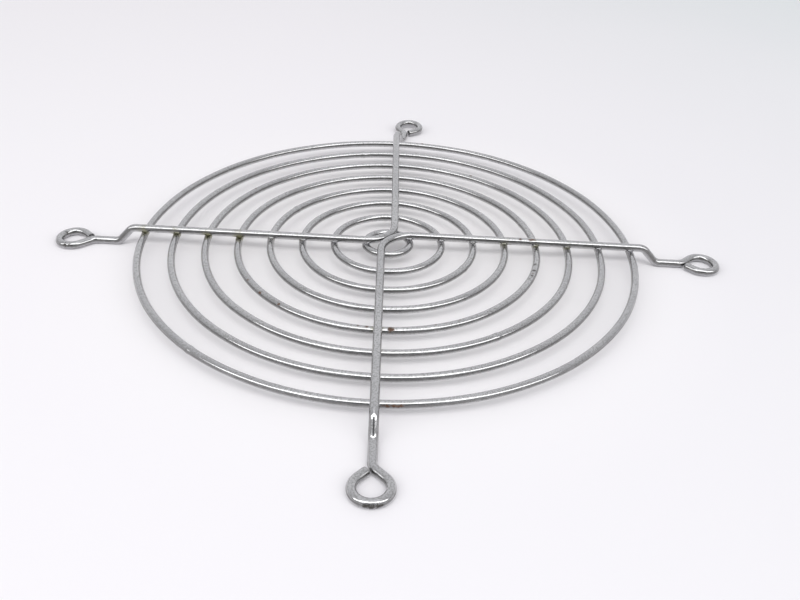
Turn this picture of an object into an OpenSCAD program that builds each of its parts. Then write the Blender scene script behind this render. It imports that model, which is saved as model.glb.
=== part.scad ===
// Wire fan guard: eight concentric wire rings, spot welded under two bent cross wires.
// Each cross wire runs in from an eyelet, turns at the centre and runs out to the next eyelet.
// Between the outermost ring and its eyelet each arm steps down, so the rings stand off the fan.
// Millimetres, +Z up. The origin is the centre of the rings, on the plane the eyelets stand on.
// The fan lies below that plane. The back eyelet is knocked a little towards +X, and the front
// one stands a little too far out.

/* [Fan] */
// Distance between the fan's screw holes, along one side of its square frame
hole_square = 105; // [82.5:0.5:140]

/* [Rings] */
// Diameter of the ring wire
ring_wire = 1.7; // [1.2:0.1:2]
// Radius of the innermost ring, to the middle of its wire
first_ring_radius = 5.2; // [4.6:0.1:6]
// From the circle through the screw holes in to the outermost ring, to the middle of its wire
rim_inset = 17.25; // [16:0.25:20]

/* [Cross wires] */
// Diameter of the cross wires
cross_wire = 1.8; // [1.4:0.1:2.1]
// How far an arm's line passes from the centre of the rings
arm_offset = 1.5; // [1.2:0.1:2.2]
// How far the spot welds press the cross wires into the rings
weld_sink = 0.25; // [0.1:0.05:0.5]

/* [Step] */
// Length of straight arm between the outermost ring and the step
step_lead = 1.9; // [1.5:0.1:3]
// Height of the step, from the arm's axis down to the shank's
step_drop = 3.7; // [3.2:0.1:4.4]
// Slope of the step
step_slope = 47; // [38:1:60]
// Radius of the step's two bends, to the middle of the wire
step_bend = 2.35; // [1.8:0.05:2.5]

/* [Eyelets] */
// Diameter of the hole each eyelet leaves for its screw
eyelet_hole = 4.8; // [4:0.1:5.6]
// Angle at which the neck swings out of the shank, straight at the side of the loop
neck_turn = 44; // [40:1:48]
// Radius of the neck's bend, to the middle of the wire
neck_bend = 2.6; // [2.2:0.1:3]
// Where the loop ends, as an angle round the hole from the shank
loop_stop = 46; // [40:1:52]
// Clear gap between the cut end and the neck
end_gap = 0.4; // [0.2:0.05:0.8]

/* [Bent eyelets] */
// How much further out the front eyelet and its step stand than the other three
front_stretch = 0.9; // [0:0.1:1.5]
// Angle the back eyelet is knocked sideways
knock_turn = 15; // [1:1:18]
// Angle its far end is lifted
knock_lift = 3; // [0:0.5:6]
// Radius of the kink that this leaves in the arm, to the middle of the wire
knock_bend = 4; // [3:0.1:6]

/* [Hidden] */
$fn = 48;

// One plating covers the whole guard
chrome = "silver";

// Directions of the arms, seen from above
to_right = 0;
to_back = 90;
to_left = 180;
full_turn = 360;

// Ways a wire can bend, as a roll about its own line from a bend to the left
leftward = 0;
upward = 90;
rightward = 180;
downward = 270;

// Rings: evenly spaced from the innermost to the outermost
ring_count = 8;
hole_circle = hole_square / sqrt(2);
rim_radius = hole_circle - rim_inset;
ring_pitch = (rim_radius - first_ring_radius) / (ring_count - 1);

// Bending draws a wire a hair thinner, so every bend is drawn inside the straights that meet it.
// Two bends always have a straight between them.
bend_wire = cross_wire - 0.02;
lap = 0.05;
kink_straight = 0.3;

// Levels of the wires' axes: the shanks lie on the fan, the arms on the rings
shank_level = cross_wire / 2;
arm_level = shank_level + step_drop;
ring_level = arm_level - (cross_wire + ring_wire) / 2 + weld_sink;

// Arms: each line passes the centre at arm_offset and ends on its eyelet's own centre line,
// so it leans by arm_lean, and the two bends just touch at the centre
arm_lean = asin(arm_offset / hole_circle);
eyelet_reach = hole_circle * cos(arm_lean);
half_turn = to_back / 2 + arm_lean;
centre_bend = (arm_offset + bend_wire / 2 * cos(half_turn)) / (1 - cos(half_turn));
bend_reach = centre_bend + bend_wire / 2;
arm_start = bend_reach * sin(half_turn);
step_start = rim_radius + step_lead;

// Step: two equal bends with a straight slope between them
slope_rise = step_drop - 2 * step_bend * (1 - cos(step_slope));
slope_length = slope_rise / sin(step_slope);
slope_reach = slope_length * cos(step_slope);
step_end = step_start + 2 * step_bend * sin(step_slope) + slope_reach;

// Eyelet: the loop is centred on the shank's line, so the neck swings out to meet it
loop_bend = (eyelet_hole + cross_wire) / 2;
bend_corner = neck_bend * tan(neck_turn / 2);
neck_length = loop_bend / tan(neck_turn) - bend_corner;
neck_reach = loop_bend / sin(neck_turn) + bend_corner;
loop_turn = full_turn - (to_back - neck_turn) - loop_stop;
shank_length = eyelet_reach - neck_reach - step_end;
knocked_shank_length = shank_length - knock_bend * sin(knock_turn) - kink_straight;

// Tail: it runs straight at the neck and stops end_gap short of it
tail_along = neck_reach * sin(loop_stop) + neck_bend * cos(loop_stop);
tail_across = neck_reach * cos(loop_stop) - neck_bend * sin(loop_stop);
tail_aside = eyelet_hole / 2 - tail_across;
tail_stop = neck_bend + cross_wire / 2 + end_gap;
tail_length = tail_along - sqrt(tail_stop * tail_stop - tail_aside * tail_aside);

// A straight length of cross wire along +X; what follows starts at its end
module straight(length, end_lap = lap) {
    translate([-lap, 0, 0])
        rotate([0, 90, 0])
            cylinder(h = lap + length + end_lap, d = cross_wire);
    translate([length, 0, 0])
        children();
}

// A bend in a cross wire that heads along +X; what follows starts at its end, heading on
module bend(radius, turn, toward) {
    rotate([toward, 0, 0])
        translate([0, radius, 0]) {
            rotate([0, 0, -90])
                rotate_extrude(angle = turn)
                    translate([radius, 0])
                        circle(d = bend_wire);
            rotate([0, 0, turn])
                translate([0, -radius, 0])
                    rotate([-toward, 0, 0])
                        children();
        }
}

// The open eyelet at the end of a shank: neck, loop and tail
module eyelet() {
    bend(neck_bend, neck_turn, leftward)
        straight(neck_length)
            bend(loop_bend, loop_turn, rightward)
                straight(tail_length, 0);
}

// From the straight arm down the step to the eyelet
module arm_end() {
    bend(step_bend, step_slope, downward)
        straight(slope_length)
            bend(step_bend, step_slope, upward)
                straight(shank_length)
                    eyelet();
}

// The same, knocked to the right and lifted; the kink takes up a little of the shank
module knocked_arm_end() {
    bend(knock_bend, knock_turn, rightward)
        straight(kink_straight)
            bend(step_bend, step_slope, downward)
                straight(slope_length)
                    bend(step_bend, step_slope + knock_lift, upward)
                        straight(knocked_shank_length)
                            eyelet();
}

// Places an arm that starts at the centre bend; side is 1 to pass left of the centre, -1 right
module arm_at(direction, side) {
    rotate([0, 0, direction - side * arm_lean])
        translate([arm_start, side * arm_offset, arm_level])
            children();
}

// The bend at the centre, from the left arm round to the back arm
module middle_bend() {
    rotate([0, 0, (to_left + to_back) / 2])
        translate([bend_reach, 0, arm_level])
            rotate([0, 0, to_left - half_turn])
                rotate_extrude(angle = 2 * half_turn)
                    translate([centre_bend, 0])
                        circle(d = bend_wire);
}

// The part of a cross wire that lies on the rings; stretch lengthens its second arm
module cross_wire_middle(stretch = 0) {
    middle_bend();
    arm_at(to_left, 1)
        straight(step_start - arm_start);
    arm_at(to_back, -1)
        straight(step_start - arm_start + stretch);
}

// One ring, with a shallow saddle wherever a cross wire is welded into it
module ring(number) {
    ring_radius = first_ring_radius + (number - 1) * ring_pitch;
    color(chrome)
        difference() {
            translate([0, 0, ring_level])
                rotate_extrude()
                    translate([ring_radius, 0])
                        circle(d = ring_wire);
            cross_wire_middle();
            rotate([0, 0, 180])
                cross_wire_middle();
        }
}

module ring_1() {
    ring(1);
}

module ring_2() {
    ring(2);
}

module ring_3() {
    ring(3);
}

module ring_4() {
    ring(4);
}

module ring_5() {
    ring(5);
}

module ring_6() {
    ring(6);
}

module ring_7() {
    ring(7);
}

module ring_8() {
    ring(8);
}

module cross_wire_left_back() {
    color(chrome) {
        cross_wire_middle();
        arm_at(to_left, 1)
            translate([step_start - arm_start, 0, 0])
                arm_end();
        arm_at(to_back, -1)
            translate([step_start - arm_start, 0, 0])
                knocked_arm_end();
    }
}

module cross_wire_right_front() {
    color(chrome)
        rotate([0, 0, 180]) {
            cross_wire_middle(front_stretch);
            arm_at(to_left, 1)
                translate([step_start - arm_start, 0, 0])
                    arm_end();
            arm_at(to_back, -1)
                translate([step_start - arm_start + front_stretch, 0, 0])
                    arm_end();
        }
}

ring_1();
ring_2();
ring_3();
ring_4();
ring_5();
ring_6();
ring_7();
ring_8();
cross_wire_left_back();
cross_wire_right_front();
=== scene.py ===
"""Looks of the wire fan guard: drawn wire, spot welds, plating, tarnish, floor, light and camera."""

import math

import bpy
import numpy as np
from mathutils import Matrix, Vector


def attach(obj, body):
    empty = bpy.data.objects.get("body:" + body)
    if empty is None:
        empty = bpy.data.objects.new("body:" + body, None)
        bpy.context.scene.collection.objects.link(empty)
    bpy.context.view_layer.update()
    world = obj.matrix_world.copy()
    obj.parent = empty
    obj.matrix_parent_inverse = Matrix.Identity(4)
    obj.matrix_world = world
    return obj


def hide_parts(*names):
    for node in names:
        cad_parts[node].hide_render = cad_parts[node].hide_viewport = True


MM = 0.001
BODY = "root"

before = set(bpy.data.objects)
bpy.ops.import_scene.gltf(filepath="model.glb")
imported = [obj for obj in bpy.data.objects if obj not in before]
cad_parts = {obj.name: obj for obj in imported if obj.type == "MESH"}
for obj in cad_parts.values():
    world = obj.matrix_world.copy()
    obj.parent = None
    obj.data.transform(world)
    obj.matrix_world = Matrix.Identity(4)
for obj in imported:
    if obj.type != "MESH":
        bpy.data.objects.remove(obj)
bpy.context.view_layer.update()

# Sizes of the guard, in millimetres, as the solids have them
HOLE_SQUARE = 105.0
RING_WIRE = 1.7
FIRST_RING_RADIUS = 5.2
RIM_INSET = 17.25
CROSS_WIRE = 1.8
ARM_OFFSET = 1.5
WELD_SINK = 0.25
STEP_LEAD = 1.9
STEP_DROP = 3.7
STEP_SLOPE = math.radians(47)
STEP_BEND = 2.35
EYELET_HOLE = 4.8
NECK_TURN = math.radians(44)
NECK_BEND = 2.6
LOOP_STOP = math.radians(46)
END_GAP = 0.4
FRONT_STRETCH = 0.9
KNOCK_TURN = math.radians(15)
KNOCK_LIFT = math.radians(3)
KNOCK_BEND = 4.0
KINK_STRAIGHT = 0.3
RING_COUNT = 8

# What follows from them
HOLE_CIRCLE = HOLE_SQUARE / math.sqrt(2)
RIM_RADIUS = HOLE_CIRCLE - RIM_INSET
RING_PITCH = (RIM_RADIUS - FIRST_RING_RADIUS) / (RING_COUNT - 1)
RING_RADII = [FIRST_RING_RADIUS + number * RING_PITCH for number in range(RING_COUNT)]
SHANK_LEVEL = CROSS_WIRE / 2
ARM_LEVEL = SHANK_LEVEL + STEP_DROP
RING_LEVEL = ARM_LEVEL - (CROSS_WIRE + RING_WIRE) / 2 + WELD_SINK
ARM_LEAN = math.asin(ARM_OFFSET / HOLE_CIRCLE)
HALF_TURN = math.pi / 4 + ARM_LEAN
CENTRE_BEND = (ARM_OFFSET + CROSS_WIRE / 2 * math.cos(HALF_TURN)) / (1 - math.cos(HALF_TURN))
BEND_REACH = CENTRE_BEND + CROSS_WIRE / 2
ARM_START = BEND_REACH * math.sin(HALF_TURN)
STEP_START = RIM_RADIUS + STEP_LEAD
SLOPE_RISE = STEP_DROP - 2 * STEP_BEND * (1 - math.cos(STEP_SLOPE))
STEP_END = STEP_START + 2 * STEP_BEND * math.sin(STEP_SLOPE) + SLOPE_RISE / math.tan(STEP_SLOPE)
LOOP_BEND = (EYELET_HOLE + CROSS_WIRE) / 2
BEND_CORNER = NECK_BEND * math.tan(NECK_TURN / 2)
NECK_REACH = LOOP_BEND / math.sin(NECK_TURN) + BEND_CORNER
SHANK_LENGTH = HOLE_CIRCLE * math.cos(ARM_LEAN) - NECK_REACH - STEP_END
TAIL_ALONG = NECK_REACH * math.sin(LOOP_STOP) + NECK_BEND * math.cos(LOOP_STOP)
TAIL_ACROSS = NECK_REACH * math.cos(LOOP_STOP) - NECK_BEND * math.sin(LOOP_STOP)
TAIL_STOP = NECK_BEND + CROSS_WIRE / 2 + END_GAP
TAIL_LENGTH = TAIL_ALONG - math.sqrt(TAIL_STOP**2 - (EYELET_HOLE / 2 - TAIL_ACROSS) ** 2)

LEFTWARD, UPWARD, RIGHTWARD, DOWNWARD = (math.radians(roll) for roll in (0, 90, 180, 270))

# The arms as (direction, side): side is 1 where an arm's line passes left of the centre, -1 right
RIGHT, BACK = (0.0, 1), (math.pi / 2, -1)
LEFT, FRONT = (math.pi, 1), (1.5 * math.pi, -1)
# The direction of the first cross wire's centre bend, between the left and the back arm
CORNER = math.radians(135)

# Spacing of the points along a wire's middle line, in millimetres
STRAIGHT_SPACING = 0.5
BEND_SPACING = 0.22
TAIL_SPACING = 0.2
# Steps round the bend at the centre
CENTRE_STEPS = 60


class WirePath:
    """The middle line of a wire, walked along as it is bent: straights and round bends."""

    def __init__(self, place, heading):
        self.frame = Matrix.Translation(place) @ Matrix.Rotation(heading, 4, "Z")
        self.points = [self.frame.translation.copy()]

    def move(self, step):
        self.frame = self.frame @ step
        self.points.append(self.frame.translation.copy())

    def straight(self, length, spacing=STRAIGHT_SPACING):
        steps = max(1, math.ceil(length / spacing))
        for _ in range(steps):
            self.move(Matrix.Translation((length / steps, 0, 0)))

    def bend(self, radius, turn, toward):
        steps = max(2, math.ceil(radius * turn / BEND_SPACING))
        part = turn / steps
        roll = Matrix.Rotation(toward, 4, "X")
        ahead = Matrix.Translation((radius * math.sin(part), radius * (1 - math.cos(part)), 0))
        step = roll @ ahead @ Matrix.Rotation(part, 4, "Z") @ roll.inverted()
        for _ in range(steps):
            self.move(step)


def arm_path(direction, side, stretch, knocked):
    """From the centre bend out along an arm, down the step and round the eyelet."""
    heading = direction - side * ARM_LEAN
    place = Matrix.Rotation(heading, 4, "Z") @ Vector((ARM_START, side * ARM_OFFSET, ARM_LEVEL))
    path = WirePath(place, heading)
    path.straight(STEP_START - ARM_START + stretch)
    shank = SHANK_LENGTH
    if knocked:
        path.bend(KNOCK_BEND, KNOCK_TURN, RIGHTWARD)
        path.straight(KINK_STRAIGHT)
        shank -= KNOCK_BEND * math.sin(KNOCK_TURN) + KINK_STRAIGHT
    path.bend(STEP_BEND, STEP_SLOPE, DOWNWARD)
    path.straight(SLOPE_RISE / math.sin(STEP_SLOPE))
    path.bend(STEP_BEND, STEP_SLOPE + (KNOCK_LIFT if knocked else 0), UPWARD)
    path.straight(shank)
    path.bend(NECK_BEND, NECK_TURN, LEFTWARD)
    path.straight(LOOP_BEND / math.tan(NECK_TURN) - BEND_CORNER)
    path.bend(LOOP_BEND, 1.5 * math.pi + NECK_TURN - LOOP_STOP, RIGHTWARD)
    path.straight(TAIL_LENGTH, TAIL_SPACING)
    return path.points


def cross_wire_path(turned, stretch, knocked):
    """Left eyelet to back eyelet, or the same turned half round."""
    left = arm_path(*LEFT, 0.0, False)
    back = arm_path(*BACK, stretch, knocked)
    centre = Vector((math.cos(CORNER), math.sin(CORNER), 0)) * BEND_REACH
    bend = []
    for step in range(1, CENTRE_STEPS):
        angle = CORNER + math.pi - HALF_TURN + 2 * HALF_TURN * step / CENTRE_STEPS
        bend.append(centre + CENTRE_BEND * Vector((math.cos(angle), math.sin(angle), 0)))
        bend[-1].z = ARM_LEVEL
    path = left[::-1] + bend + back
    half = Matrix.Rotation(math.pi if turned else 0, 4, "Z")
    return [half @ point * MM for point in path]


# Nodes


class Nodes:
    """Adds nodes to a tree, with plain values or other nodes' outputs on their inputs."""

    def __init__(self, tree):
        self.tree = tree

    def add(self, kind, values=(), **settings):
        node = self.tree.nodes.new(kind)
        for key, value in settings.items():
            setattr(node, key, value)
        for socket, value in dict(values).items():
            target = node.inputs[socket]
            if isinstance(value, bpy.types.NodeSocket):
                self.tree.links.new(value, target)
            else:
                target.default_value = value
        return node

    def maths(self, operation, first, second=0.0):
        return self.add("ShaderNodeMath", {0: first, 1: second}, operation=operation).outputs[0]


class ShapeNodes(Nodes):
    """A geometry node tree with named inputs."""

    def __init__(self, name, inputs, takes_geometry):
        super().__init__(bpy.data.node_groups.new(name, "GeometryNodeTree"))
        face = self.tree.interface
        if takes_geometry:
            face.new_socket("Geometry", in_out="INPUT", socket_type="NodeSocketGeometry")
        for label, kind in inputs:
            face.new_socket(label, in_out="INPUT", socket_type="NodeSocket" + kind)
        face.new_socket("Geometry", in_out="OUTPUT", socket_type="NodeSocketGeometry")
        self.given = self.add("NodeGroupInput").outputs
        self.end = self.add("NodeGroupOutput")

    def vector(self, operation, first, second=None, scale=None):
        values = {0: first}
        if second is not None:
            values[1] = second
        if scale is not None:
            values["Scale"] = scale
        node = self.add("ShaderNodeVectorMath", values, operation=operation)
        return node.outputs["Value" if operation == "DISTANCE" else "Vector"]

    def finish(self, geometry):
        """Ends the tree in Realize Instances and Set Material."""
        whole = self.add("GeometryNodeRealizeInstances", {"Geometry": geometry}).outputs[0]
        painted = self.add(
            "GeometryNodeSetMaterial", {"Geometry": whole, "Material": self.given["Material"]}
        ).outputs[0]
        self.tree.links.new(painted, self.end.inputs[0])
        return self.tree


# The sockets of a colour mix
MIX_SHARE, MIX_FIRST, MIX_SECOND, MIXED = 0, 6, 7, 2


class LookNodes(Nodes):
    """The shader nodes of a material or of the room, started afresh."""

    def __init__(self, tree):
        super().__init__(tree)
        tree.nodes.clear()

    def noise(self, place, scale, detail=2.0, roughness=0.5):
        values = {"Vector": place, "Scale": scale, "Detail": detail, "Roughness": roughness}
        return self.add("ShaderNodeTexNoise", values).outputs["Fac"]

    def spread(self, value, low, high, out_low=0.0, out_high=1.0):
        """Eases from out_low to out_high as the value goes from low to high."""
        values = {
            "Value": value,
            "From Min": low,
            "From Max": high,
            "To Min": out_low,
            "To Max": out_high,
        }
        return self.add("ShaderNodeMapRange", values, interpolation_type="SMOOTHSTEP").outputs[0]

    def mix(self, share, first, second):
        values = {MIX_SHARE: share, MIX_FIRST: first, MIX_SECOND: second}
        return self.add("ShaderNodeMix", values, data_type="RGBA").outputs[MIXED]

    def attribute(self, name):
        return self.add("ShaderNodeAttribute", attribute_name=name).outputs["Fac"]

    def blotch(self, name, noise, strength):
        """An attribute roughened at its edges by a noise."""
        centred = self.maths("MULTIPLY", self.maths("SUBTRACT", noise, 0.5), strength)
        return self.maths("ADD", self.attribute(name), centred)


# Shapes


def wire_tube(tree, curve, thickness, capped):
    """A round wire along a curve; thickness is its share of the wire diameter at each point."""
    radius = tree.maths("MULTIPLY", tree.given["Wire diameter"], 0.5)
    profile = tree.add(
        "GeometryNodeCurvePrimitiveCircle", {"Resolution": tree.given["Sides"], "Radius": radius}
    ).outputs["Curve"]
    tube = tree.add(
        "GeometryNodeCurveToMesh",
        {"Curve": curve, "Profile Curve": profile, "Scale": thickness, "Fill Caps": capped},
    ).outputs["Mesh"]
    return tree.add("GeometryNodeSetShadeSmooth", {"Geometry": tube}).outputs[0]


def drawn_wire_tree():
    """A length of wire along a given line of points, thinned at its cut ends."""
    tree = ShapeNodes(
        "Drawn wire",
        [("Wire diameter", "Float"), ("Sides", "Int"), ("Material", "Material")],
        takes_geometry=True,
    )
    curve = tree.add("GeometryNodeMeshToCurve", {"Mesh": tree.given["Geometry"]}).outputs[0]
    thickness = tree.add(
        "GeometryNodeInputNamedAttribute", {"Name": "thickness"}, data_type="FLOAT"
    ).outputs["Attribute"]
    return tree.finish(wire_tube(tree, curve, thickness, True))


def wire_ring_tree():
    """A ring bent from wire: a little out of true, with a bulge where its ends are butt welded."""
    tree = ShapeNodes(
        "Wire ring",
        [
            ("Ring radius", "Float"),
            ("Wire diameter", "Float"),
            ("Level", "Float"),
            ("Waver", "Float"),
            ("Waver length", "Float"),
            ("Joint angle", "Float"),
            ("Joint bulge", "Float"),
            ("Joint length", "Float"),
            ("Segments", "Int"),
            ("Sides", "Int"),
            ("Seed", "Float"),
            ("Material", "Material"),
        ],
        takes_geometry=False,
    )
    given = tree.given
    circle = tree.add(
        "GeometryNodeCurvePrimitiveCircle",
        {"Resolution": given["Segments"], "Radius": given["Ring radius"]},
    ).outputs["Curve"]
    place = tree.add("GeometryNodeInputPosition").outputs[0]
    noise = tree.add(
        "ShaderNodeTexNoise",
        {
            "Vector": place,
            "W": given["Seed"],
            "Scale": tree.maths("DIVIDE", 1.0, given["Waver length"]),
            "Detail": 1.0,
        },
        noise_dimensions="4D",
    ).outputs["Color"]
    centred = tree.vector("SUBTRACT", noise, (0.5, 0.5, 0.5))
    shift = tree.vector("SCALE", centred, scale=given["Waver"])
    lift = tree.add("ShaderNodeCombineXYZ", {"Z": given["Level"]}).outputs[0]
    bent = tree.add(
        "GeometryNodeSetPosition",
        {"Geometry": circle, "Offset": tree.vector("ADD", shift, lift)},
    ).outputs[0]
    across, back = (
        tree.maths("MULTIPLY", given["Ring radius"], tree.maths(function, given["Joint angle"]))
        for function in ("COSINE", "SINE")
    )
    joint = tree.add(
        "ShaderNodeCombineXYZ", {"X": across, "Y": back, "Z": given["Level"]}
    ).outputs[0]
    away = tree.vector("DISTANCE", place, joint)
    bulge = tree.add(
        "ShaderNodeMapRange",
        {
            "Value": away,
            "From Min": 0.0,
            "From Max": given["Joint length"],
            "To Min": tree.maths("ADD", given["Joint bulge"], 1.0),
            "To Max": 1.0,
        },
        interpolation_type="SMOOTHSTEP",
    ).outputs["Result"]
    return tree.finish(wire_tube(tree, bent, bulge, False))


BEAD_SEGMENTS = 20
BEAD_ROWS = 12


def spot_weld_tree():
    """A bead of squeezed-out metal at each place where two wires are welded."""
    tree = ShapeNodes(
        "Spot welds",
        [
            ("Bead radius", "Float"),
            ("Bead height", "Float"),
            ("Unevenness", "Float"),
            ("Seed", "Int"),
            ("Material", "Material"),
        ],
        takes_geometry=True,
    )
    given = tree.given
    bead = tree.add(
        "GeometryNodeMeshUVSphere",
        {"Segments": BEAD_SEGMENTS, "Rings": BEAD_ROWS, "Radius": 1.0},
    ).outputs["Mesh"]
    heading = tree.add(
        "GeometryNodeInputNamedAttribute", {"Name": "heading"}, data_type="FLOAT"
    ).outputs["Attribute"]
    turned = tree.add("ShaderNodeCombineXYZ", {"Z": heading}).outputs[0]
    rotation = tree.add("FunctionNodeEulerToRotation", {"Euler": turned}).outputs[0]
    low = tree.maths("SUBTRACT", 1.0, given["Unevenness"])
    high = tree.maths("ADD", 1.0, given["Unevenness"])
    sizes = []
    for axis, base in enumerate(("Bead radius", "Bead radius", "Bead height")):
        seed = tree.maths("ADD", given["Seed"], float(axis))
        chance = tree.add(
            "FunctionNodeRandomValue", {2: low, 3: high, "Seed": seed}, data_type="FLOAT"
        ).outputs[1]
        sizes.append(tree.maths("MULTIPLY", given[base], chance))
    scale = tree.add("ShaderNodeCombineXYZ", dict(zip("XYZ", sizes))).outputs[0]
    points = tree.add("GeometryNodeMeshToPoints", {"Mesh": given["Geometry"]}).outputs[0]
    beads = tree.add(
        "GeometryNodeInstanceOnPoints",
        {"Points": points, "Instance": bead, "Rotation": rotation, "Scale": scale},
    ).outputs[0]
    whole = tree.add("GeometryNodeRealizeInstances", {"Geometry": beads}).outputs[0]
    return tree.finish(tree.add("GeometryNodeSetShadeSmooth", {"Geometry": whole}).outputs[0])


def grown(name, tree, values, base):
    """The plain mesh that a tree makes of a base mesh, as a new piece."""
    carrier = bpy.data.objects.new(name + "_base", base)
    bpy.context.scene.collection.objects.link(carrier)
    modifier = carrier.modifiers.new("Make", "NODES")
    modifier.node_group = tree
    for item in tree.interface.items_tree:
        if item.in_out == "INPUT" and item.name in values:
            modifier[item.identifier] = values[item.name]
    carrier.update_tag()
    bpy.context.view_layer.update()
    seen = carrier.evaluated_get(bpy.context.evaluated_depsgraph_get())
    mesh = bpy.data.meshes.new_from_object(seen)
    mesh.name = name
    bpy.data.objects.remove(carrier)
    piece = bpy.data.objects.new(name, mesh)
    bpy.context.scene.collection.objects.link(piece)
    return piece


def line_mesh(name, points, values=()):
    """A mesh of points joined in a line, with values kept on its points."""
    mesh = bpy.data.meshes.new(name)
    mesh.from_pydata(points, [(i, i + 1) for i in range(len(points) - 1)], [])
    for label, column in dict(values).items():
        mesh.attributes.new(label, "FLOAT", "POINT").data.foreach_set("value", column)
    return mesh


# Where the wires are welded, in millimetres

# How dark the welds are tarnished: on ring 1, then on each arm from ring 2 to ring 8
INNER_TARNISH = 0.2
ARM_TARNISH = {
    RIGHT: (0.3, 0.5, 0.8, 0.7, 0.7, 0.45, 0.35),
    BACK: (0.3, 0.4, 0.4, 0.5, 0.4, 0.35, 0.35),
    LEFT: (0.4, 0.5, 0.6, 1.0, 0.9, 0.8, 0.85),
    FRONT: (0.3, 0.4, 0.6, 0.7, 0.6, 0.5, 0.5),
}


def weld_places():
    """(point, heading, tarnish) of every crossing of a ring and a cross wire."""
    level = (ARM_LEVEL - CROSS_WIRE / 2 + RING_LEVEL + RING_WIRE / 2) / 2
    places = []
    for number, radius in enumerate(RING_RADII[1:]):
        for (direction, side), tarnish in ARM_TARNISH.items():
            heading = direction - side * ARM_LEAN
            along = math.sqrt(radius**2 - ARM_OFFSET**2)
            spot = Matrix.Rotation(heading, 4, "Z") @ Vector((along, side * ARM_OFFSET, level))
            places.append((spot, heading, tarnish[number]))
    inner = RING_RADII[0]
    swing = math.acos((inner**2 + BEND_REACH**2 - CENTRE_BEND**2) / (2 * inner * BEND_REACH))
    for middle in (CORNER, CORNER + math.pi):
        for side in (-1, 1):
            angle = middle + side * swing
            spot = Vector((inner * math.cos(angle), inner * math.sin(angle), level))
            places.append((spot, angle, INNER_TARNISH))
    return places


# Materials


def new_material(name):
    """A material and its nodes, with nothing in them yet."""
    material = bpy.data.materials.new(name)
    material.use_nodes = True
    return material, LookNodes(material.node_tree)


# Colours of the plating, of what has spoiled it, and of the shade painted on its flanks
CHROME_DIM = (0.62, 0.62, 0.635, 1)
CHROME_BRIGHT = (0.70, 0.70, 0.71, 1)
CHROME_SPECKLE = (0.46, 0.46, 0.46, 1)
# Painted shade, put on the wire's flanks
PAINTED_SHADE = (0.17, 0.167, 0.16, 1)
OLIVE_DARK = (0.20, 0.195, 0.12, 1)
OLIVE_PALE = (0.42, 0.41, 0.30, 1)
RUST_DARK = (0.045, 0.028, 0.02, 1)
RUST_PALE = (0.19, 0.10, 0.06, 1)
PIT_BLACK = (0.06, 0.055, 0.05, 1)

# Patterns in the plating: how fine, about so many to the metre, how detailed and how rough
CLOUD = (90.0, 3.0)
RIPPLE = (700.0, 3.0, 0.6)
GRAIN = (3000.0, 4.0, 0.65)

# For each blemish: how ragged its edge is, then where it starts and where it is full
TARNISH_RAGGED, TARNISH_EDGE = 0.6, (0.30, 0.75)
RUST_RAGGED, RUST_EDGE = 1.4, (0.50, 0.70)
PITS_RAGGED, PITS_EDGE = 3.0, (1.02, 1.25)

CLOUD_EDGE = (0.35, 0.7)
SPECKLE_EDGE = (0.34, 0.58)
# Where the painted shade on the flanks goes from thin to full, and how much the thin shade covers
SHADE_PATCH_EDGE, SHADE_PATCH_COVER = (0.25, 0.65), (0.75, 1.0)
# Roughness of the clean plating, from smooth to rippled, and what rust or a pit adds to it
POLISH_EDGE, POLISH = (0.3, 0.75), (0.06, 0.11)
BLEMISH_ROUGHNESS = 0.4
# The share of that which full tarnish adds
TARNISH_DULLING = 0.5
# How metallic rust and pits still are
BARE_METALLIC = 0.25
# Relief of the ripple and of what is eaten away, with its depth in metres
RELIEF = 0.5
BUMP_STRENGTH = 0.3
BUMP_DEPTH = 0.00006


def chrome_material():
    """Bright chrome over steel, with painted shade on its flanks, weld tarnish, rust and pits."""
    material, s = new_material("bright_chrome")
    place = s.add("ShaderNodeTexCoord").outputs["Object"]
    cloudy = s.noise(place, *CLOUD)
    ripple = s.noise(place, *RIPPLE)
    grain = s.noise(place, *GRAIN)

    tarnish = s.spread(s.blotch("tarnish", ripple, TARNISH_RAGGED), *TARNISH_EDGE)
    rusty = s.spread(s.blotch("rust", grain, RUST_RAGGED), *RUST_EDGE)
    pitted = s.spread(s.blotch("specks", grain, PITS_RAGGED), *PITS_EDGE)
    # Painted shade: the flanks darkened by which way the wire faces, in patches
    patchy = s.spread(ripple, *SHADE_PATCH_EDGE, *SHADE_PATCH_COVER)
    painted_shade_share = s.maths("MULTIPLY", s.attribute("painted_flank_shade"), patchy)

    bright = s.mix(s.spread(cloudy, *CLOUD_EDGE), CHROME_DIM, CHROME_BRIGHT)
    speckled = s.mix(s.spread(grain, *SPECKLE_EDGE), CHROME_SPECKLE, bright)
    shaded = s.mix(painted_shade_share, speckled, PAINTED_SHADE)
    olive = s.mix(grain, OLIVE_DARK, OLIVE_PALE)
    browned = s.mix(tarnish, shaded, olive)
    red_brown = s.mix(ripple, RUST_DARK, RUST_PALE)
    rusted = s.mix(rusty, browned, red_brown)
    colour = s.mix(pitted, rusted, PIT_BLACK)

    bare = s.maths("MAXIMUM", rusty, pitted)
    dull = s.maths("MAXIMUM", s.maths("MULTIPLY", tarnish, TARNISH_DULLING), bare)
    polish = s.spread(ripple, *POLISH_EDGE, *POLISH)
    height = s.maths("MULTIPLY", s.maths("SUBTRACT", ripple, bare), RELIEF)
    bump = s.add(
        "ShaderNodeBump", {"Height": height, "Strength": BUMP_STRENGTH, "Distance": BUMP_DEPTH}
    ).outputs[0]
    skin = s.add(
        "ShaderNodeBsdfPrincipled",
        {
            "Base Color": colour,
            "Metallic": s.spread(bare, 0.0, 1.0, 1.0, BARE_METALLIC),
            "Roughness": s.maths("ADD", polish, s.maths("MULTIPLY", dull, BLEMISH_ROUGHNESS)),
            "Normal": bump,
        },
    ).outputs[0]
    s.add("ShaderNodeOutputMaterial", {"Surface": skin})
    return material
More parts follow.
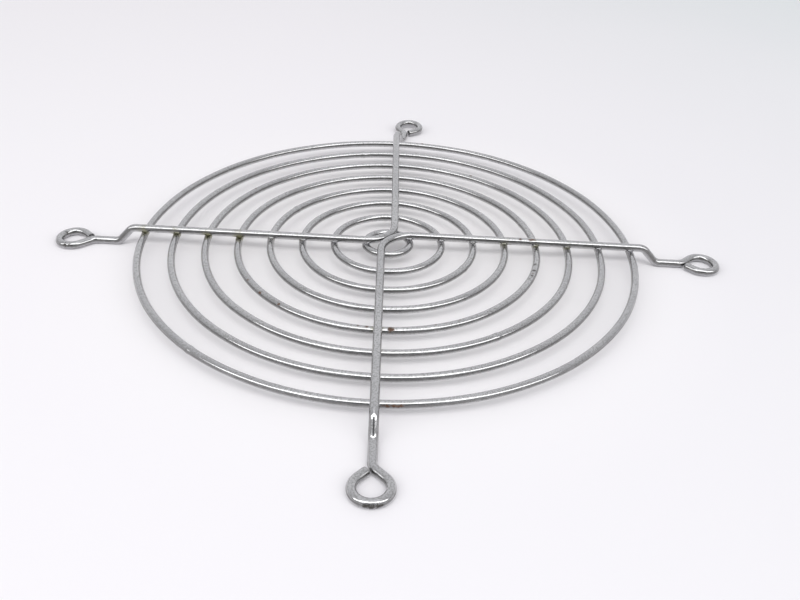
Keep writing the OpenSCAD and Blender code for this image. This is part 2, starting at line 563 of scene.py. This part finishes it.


# Colours of the floor card, with light and shade painted on it
CARD_LIT_LEFT = (0.925, 0.905, 0.93, 1)
CARD_SHADED_RIGHT = (0.845, 0.84, 0.865, 1)
CARD_LIT_UNDER = (0.955, 0.94, 0.945, 1)
CARD_SHADED_FAR_RIGHT = (0.80, 0.87, 0.87, 1)
CARD_MOTTLE = (0.90, 0.895, 0.915, 1)

# Where each colour gives way to the next, in metres: rightward, back to the right, from the middle
ACROSS_EDGE = (-0.12, 0.22)
FAR_RIGHT_EDGE = (0.12, 0.8)
UNDER_EDGE = (0.035, 0.085)
MOTTLE = (6.0, 3.0)
MOTTLE_EDGE = (0.3, 0.7)
MOTTLE_SHARE = 0.3
CARD_ROUGHNESS = 0.5


def floor_material():
    """White card, a little cool, with painted light on the left and under the guard and painted
    shade to the right and far right. It keeps the guard's shadow.
    """
    material, s = new_material("white_card")
    place = s.add("ShaderNodeTexCoord").outputs["Object"]
    side = s.add("ShaderNodeSeparateXYZ", {0: place}).outputs
    # Painted light and shade: lighter on the left, darker to the right, darker and cyan far back
    # right
    rightward = s.spread(side["X"], *ACROSS_EDGE)
    far_right = s.spread(s.maths("ADD", side["X"], side["Y"]), *FAR_RIGHT_EDGE)
    painted_light_across = s.mix(rightward, CARD_LIT_LEFT, CARD_SHADED_RIGHT)
    away = s.add("ShaderNodeVectorMath", {0: place}, operation="LENGTH").outputs["Value"]
    # Painted light: lighter and warmer under the middle of the guard
    near = s.mix(s.spread(away, *UNDER_EDGE), CARD_LIT_UNDER, painted_light_across)
    card_with_painted_light = s.mix(far_right, near, CARD_SHADED_FAR_RIGHT)
    mottle = s.spread(s.noise(place, *MOTTLE), *MOTTLE_EDGE)
    colour = s.mix(s.maths("MULTIPLY", mottle, MOTTLE_SHARE), card_with_painted_light, CARD_MOTTLE)
    card = s.add("ShaderNodeBsdfDiffuse", {"Color": colour, "Roughness": CARD_ROUGHNESS}).outputs[0]
    s.add("ShaderNodeOutputMaterial", {"Surface": card})
    return material


# Blemishes, as places on the guard


def on_ring(number, degrees, aside=0.0, up=0.0):
    """A point on a ring's wire: aside is outward from its middle, up is above it."""
    angle = math.radians(degrees)
    radius = RING_RADII[number - 1] + aside
    return Vector((radius * math.cos(angle), radius * math.sin(angle), RING_LEVEL + up))


def on_eyelet(direction, side, degrees, aside=0.0, up=0.0, reach=HOLE_CIRCLE):
    """A point on an eyelet's loop: degrees are counted round the hole from its far end."""
    heading = direction - side * ARM_LEAN
    angle = heading + math.radians(degrees)
    middle = Vector((reach, side * ARM_OFFSET, SHANK_LEVEL + up))
    centre = Matrix.Rotation(heading, 4, "Z") @ middle
    return centre + (LOOP_BEND + aside) * Vector((math.cos(angle), math.sin(angle), 0))


def on_arm(direction, side, along, aside=0.0, up=0.0):
    """A point on an arm's wire: along is outward from the centre, up is above its middle."""
    heading = direction - side * ARM_LEAN
    spot = Vector((along, side * ARM_OFFSET + aside, ARM_LEVEL + up))
    return Matrix.Rotation(heading, 4, "Z") @ spot


FRONT_REACH = HOLE_CIRCLE + FRONT_STRETCH

# Rust: (place, how far it spreads), in millimetres
RUST_SPOTS = [
    (on_ring(5, 213, 0.5, 0.6), 0.8),
    (on_ring(5, 222, 0.6, 0.5), 0.9),
    (on_ring(5, 232, 0.5, 0.6), 0.8),
    (on_ring(5, 262, 0.0, 0.8), 0.7),
    (on_ring(5, 265, 0.0, 0.8), 0.9),
    (on_ring(5, 273, 0.3, 0.7), 1.6),
    (on_ring(5, 288, 0.0, 0.8), 0.6),
    (on_ring(5, 292, 0.0, 0.8), 0.6),
    (on_ring(5, 297, 0.0, 0.8), 0.7),
    (on_ring(5, 340, 0.0, 0.8), 0.7),
    (on_ring(6, 60, 0.0, 0.8), 0.8),
    (on_ring(6, 146, 0.0, 0.8), 0.6),
    (on_ring(8, 271.3, 0.78, 0.33), 0.75),
    (on_ring(8, 272.1, 0.80, 0.29), 0.85),
    (on_ring(8, 272.9, 0.80, 0.29), 0.80),
    (on_ring(8, 273.8, 0.80, 0.29), 0.85),
    (on_ring(8, 274.6, 0.78, 0.33), 0.70),
    (on_arm(*RIGHT, 31.0, -0.3, 0.8), 0.8),
    (on_arm(*RIGHT, 33.3, -0.4, 0.8), 0.9),
    (on_arm(*RIGHT, 34.2, -0.2, 0.8), 0.9),
    (on_ring(8, 82, 0.0, 0.8), 0.8),
]

# Black pits in the plating: (place, how far they spread), in millimetres
PITS = [
    (on_eyelet(*FRONT, -12, 0.85, 0.1, FRONT_REACH), 0.9),
    (on_eyelet(*FRONT, 2, 0.85, 0.0, FRONT_REACH), 1.25),
    (on_eyelet(*FRONT, 18, 0.85, 0.1, FRONT_REACH), 1.0),
    (on_eyelet(*FRONT, 27, 0.85, 0.1, FRONT_REACH), 0.8),
    (on_ring(5, 346.7, -0.2, 0.83), 1.15),
    (on_ring(5, 342.2, 0.1, 0.85), 1.1),
    (on_ring(5, 338.6, 0.1, 0.85), 1.1),
    (on_ring(5, 336.0, -0.1, 0.85), 0.85),
    (on_eyelet(*LEFT, -35, -0.6, 0.6), 0.9),
    (on_eyelet(*LEFT, 80, 0.7, 0.5), 1.1),
    (on_eyelet(*LEFT, 95, 0.7, 0.5), 0.9),
]

# Painted shade is thickest where the wire's side faces just above level
FLANK_MIDDLE, FLANK_WIDTH = 0.18, 0.33

# How far the tarnish spreads round a weld, in millimetres
WELD_REACH = 3.2

# How readily the plating shows specks: anywhere, more along the front arm, and more at a pit
SPECKS_ANYWHERE = 0.30
SPECKS_FRONT_ARM = 0.12
SPECKS_PIT = 1.2
# Half the width of the strip along the front arm, in millimetres, and the ring it starts at
FRONT_STRIP_HALF = 2
FRONT_STRIP_RING = 3

# Edges sharper than this stay crisp
CRISP_EDGE = math.radians(40)


def closeness(points, places):
    """For each point, how near the nearest (place, reach) is: 1 on it and 0 beyond its reach."""
    best = np.zeros(len(points))
    for place, reach in places:
        away = np.linalg.norm(points - np.array(place) * MM, axis=1) / (reach * MM)
        best = np.maximum(best, np.clip(1 - away, 0, 1))
    return best


def vertex_vectors(mesh, what):
    """The places or normals of a mesh's points, one row each."""
    values = np.empty(len(mesh.vertices) * 3)
    mesh.vertices.foreach_get(what, values)
    return values.reshape(-1, 3)


def mark(piece, welds):
    """Keeps on a piece's points its weld tarnish, rust, specks and the shade painted on its flanks.
    """
    mesh = piece.data
    points = vertex_vectors(mesh, "co")
    facing_up = vertex_vectors(mesh, "normal")[:, 2]
    tarnish = np.zeros(len(points))
    for place, _, share in welds:
        tarnish = np.maximum(tarnish, share * closeness(points, [(place, WELD_REACH)]))
    rust = closeness(points, RUST_SPOTS)
    in_strip = np.abs(points[:, 0]) < FRONT_STRIP_HALF * MM
    on_front_arm = in_strip & (points[:, 1] < -RING_RADII[FRONT_STRIP_RING - 1] * MM)
    specks = SPECKS_ANYWHERE + SPECKS_FRONT_ARM * on_front_arm
    specks = specks + SPECKS_PIT * closeness(points, PITS)
    # Painted shade on the flanks, from which way each point faces
    painted_flank_shade = np.exp(-(((facing_up - FLANK_MIDDLE) / FLANK_WIDTH) ** 2))
    columns = {"tarnish": tarnish, "rust": rust, "specks": specks, "painted_flank_shade": painted_flank_shade}
    for label, column in columns.items():
        mesh.attributes.new(label, "FLOAT", "POINT").data.foreach_set("value", column)
    return piece


def as_piece(piece, *nodes):
    """Smooth sides, sharp cut ends; rides on the guard and stands for its solid."""
    piece.data.set_sharp_from_angle(angle=CRISP_EDGE)
    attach(piece, BODY)
    if nodes:
        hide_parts(*nodes)
    return piece


chrome = chrome_material()
welds = weld_places()

# The rings are bent a little out of true, in millimetres, and each has its butt weld
RING_WAVER = 0.25
WAVER_LENGTH = 22.0
JOINT_BULGE = 0.12
JOINT_LENGTH = 0.9
JOINT_ANGLES = [200, 95, 330, 148, 20, 303, 100, 230]
RING_SPACING = 0.5
FEWEST_RING_SEGMENTS = 96
RING_SIDES = 24

ring_tree = wire_ring_tree()
empty = bpy.data.meshes.new("nothing")
for number, radius in enumerate(RING_RADII, start=1):
    name = f"wire_ring_{number}"
    values = {
        "Ring radius": radius * MM,
        "Wire diameter": RING_WIRE * MM,
        "Level": RING_LEVEL * MM,
        "Waver": RING_WAVER * MM,
        "Waver length": WAVER_LENGTH * MM,
        "Joint angle": math.radians(JOINT_ANGLES[number - 1]),
        "Joint bulge": JOINT_BULGE,
        "Joint length": JOINT_LENGTH * MM,
        "Segments": max(FEWEST_RING_SEGMENTS, round(2 * math.pi * radius / RING_SPACING)),
        "Sides": RING_SIDES,
        "Seed": float(number),
        "Material": chrome,
    }
    ring = grown(name, ring_tree, values, empty)
    as_piece(mark(ring, welds), f"ring_{number}")

WIRE_SIDES = 28
# What is left of the diameter at a cut end
CUT_END = 0.93

wire_tree = drawn_wire_tree()
for name, node, turned, stretch, knocked in (
    ("bent_wire_left_back", "cross_wire_left_back", False, 0.0, True),
    ("bent_wire_right_front", "cross_wire_right_front", True, FRONT_STRETCH, False),
):
    path = cross_wire_path(turned, stretch, knocked)
    thickness = [1.0] * len(path)
    thickness[0] = thickness[-1] = CUT_END
    base = line_mesh(name + "_line", path, {"thickness": thickness})
    values = {"Wire diameter": CROSS_WIRE * MM, "Sides": WIRE_SIDES, "Material": chrome}
    wire = grown(name, wire_tree, values, base)
    as_piece(mark(wire, welds), node)

weld_points = line_mesh(
    "weld_places",
    [place * MM for place, _, _ in welds],
    {"heading": [heading for _, heading, _ in welds]},
)
# The beads of the spot welds, in millimetres
BEAD_RADIUS = 0.72
BEAD_HEIGHT = 0.42
BEAD_UNEVENNESS = 0.15
BEAD_SEED = 4
values = {
    "Bead radius": BEAD_RADIUS * MM,
    "Bead height": BEAD_HEIGHT * MM,
    "Unevenness": BEAD_UNEVENNESS,
    "Seed": BEAD_SEED,
    "Material": chrome,
}
beads = grown("spot_welds", spot_weld_tree(), values, weld_points)
as_piece(mark(beads, welds))

# Floor

FLOOR_HALF = 3.0
floor_mesh = bpy.data.meshes.new("floor")
floor_mesh.from_pydata(
    [(x * FLOOR_HALF, y * FLOOR_HALF, 0.0) for x, y in ((-1, -1), (1, -1), (1, 1), (-1, 1))],
    [],
    [(0, 1, 2, 3)],
)
floor_mesh.materials.append(floor_material())
floor = bpy.data.objects.new("floor", floor_mesh)
bpy.context.scene.collection.objects.link(floor)

# Light


def area_light(name, place, size, power, target):
    """A rectangular lamp that faces its target."""
    lamp = bpy.data.lights.new(name, "AREA")
    lamp.shape = "RECTANGLE"
    lamp.size, lamp.size_y = size
    lamp.energy = power
    holder = bpy.data.objects.new(name, lamp)
    holder.location = place
    holder.rotation_euler = (Vector(target) - Vector(place)).to_track_quat("-Z", "Y").to_euler()
    bpy.context.scene.collection.objects.link(holder)


PANEL_HEIGHT = 0.8
MIDDLE_HALF = 0.55
# Light panels over the front: how bright, then (left, right, near, far) in panel heights
PANELS = {
    "middle_panel": (2.5, (-MIDDLE_HALF, MIDDLE_HALF, -0.85, -0.38)),
    "left_panel": (2.7, (-2.6, -MIDDLE_HALF, -1.07, -0.52)),
    "right_panel": (2.5, (MIDDLE_HALF, 2.6, -1.07, -0.52)),
}
for name, (brightness, (left, right, near, far)) in PANELS.items():
    size = ((right - left) * PANEL_HEIGHT, (far - near) * PANEL_HEIGHT)
    over = Vector(((left + right) / 2, (near + far) / 2, 0)) * PANEL_HEIGHT
    power = brightness * math.pi * size[0] * size[1]
    area_light(name, over + Vector((0, 0, PANEL_HEIGHT)), size, power, over)

# Greys of the walls from straight in front, 0, over the sides, 0.5, to straight behind, 1
WALL_GREYS = (
    (0.0, 0.34),
    (0.05, 0.46),
    (0.13, 0.60),
    (0.30, 0.60),
    (0.50, 0.55),
    (0.65, 0.60),
    (0.85, 0.70),
    (1.0, 0.75),
)
WALL_BLUE = 1.02
# The ceiling brightens from this height of a direction to straight up
CEILING_START = 0.87
CEILING_WHITE = (1.0, 1.0, 1.02, 1)
# Where a dark onlooker stands in front of the walls, and how sharply the outline ends
ONLOOKER = (0.02, -0.788, 0.616)
ONLOOKER_EDGE = (0.93, 0.985)
ONLOOKER_GREY = (0.14, 0.14, 0.145, 1)


def room_light():
    """Grey walls, darkest in front and lightest behind, a white ceiling and a dark onlooker."""
    world = bpy.data.worlds.new("room")
    bpy.context.scene.world = world
    world.use_nodes = True
    s = LookNodes(world.node_tree)
    direction = s.add("ShaderNodeTexCoord").outputs["Generated"]
    split = s.add("ShaderNodeSeparateXYZ", {0: direction}).outputs
    backward = s.add(
        "ShaderNodeMath", {0: split["Y"], 1: 0.5, 2: 0.5}, operation="MULTIPLY_ADD"
    ).outputs[0]
    walls = s.add("ShaderNodeValToRGB", {0: backward})
    stops = walls.color_ramp.elements
    stops[0].position, stops[1].position = WALL_GREYS[0][0], WALL_GREYS[-1][0]
    for position, _ in WALL_GREYS[1:-1]:
        stops.new(position)
    for stop, (_, grey) in zip(stops, WALL_GREYS):
        stop.color = (grey, grey, grey * WALL_BLUE, 1)
    overhead = s.add(
        "ShaderNodeMapRange", {"Value": split["Z"], "From Min": CEILING_START}
    ).outputs[0]
    whole = s.mix(overhead, walls.outputs[0], CEILING_WHITE)
    toward = s.add(
        "ShaderNodeVectorMath", {0: direction, 1: ONLOOKER}, operation="DOT_PRODUCT"
    ).outputs["Value"]
    seen = s.mix(s.spread(toward, *ONLOOKER_EDGE), whole, ONLOOKER_GREY)
    glow = s.add("ShaderNodeBackground", {"Color": seen}).outputs[0]
    s.add("ShaderNodeOutputWorld", {"Surface": glow})


room_light()

# Camera

CAMERA_PLACE = (0.003413, -0.171947, 0.104011)
CAMERA_ELEVATION = math.radians(34.2)
CAMERA_ROLL = math.radians(2.454)
CAMERA_LENS = 38.04
SENSOR_WIDTH = 36.0
lens = bpy.data.cameras.new("camera")
lens.sensor_width = SENSOR_WIDTH
lens.lens = CAMERA_LENS
camera = bpy.data.objects.new("camera", lens)
bpy.context.scene.collection.objects.link(camera)
camera.matrix_world = (
    Matrix.Translation(CAMERA_PLACE)
    @ Matrix.Rotation(math.pi / 2 - CAMERA_ELEVATION, 4, "X")
    @ Matrix.Rotation(CAMERA_ROLL, 4, "Z")
)
bpy.context.scene.camera = camera
bpy.context.scene.view_settings.view_transform = "Standard"
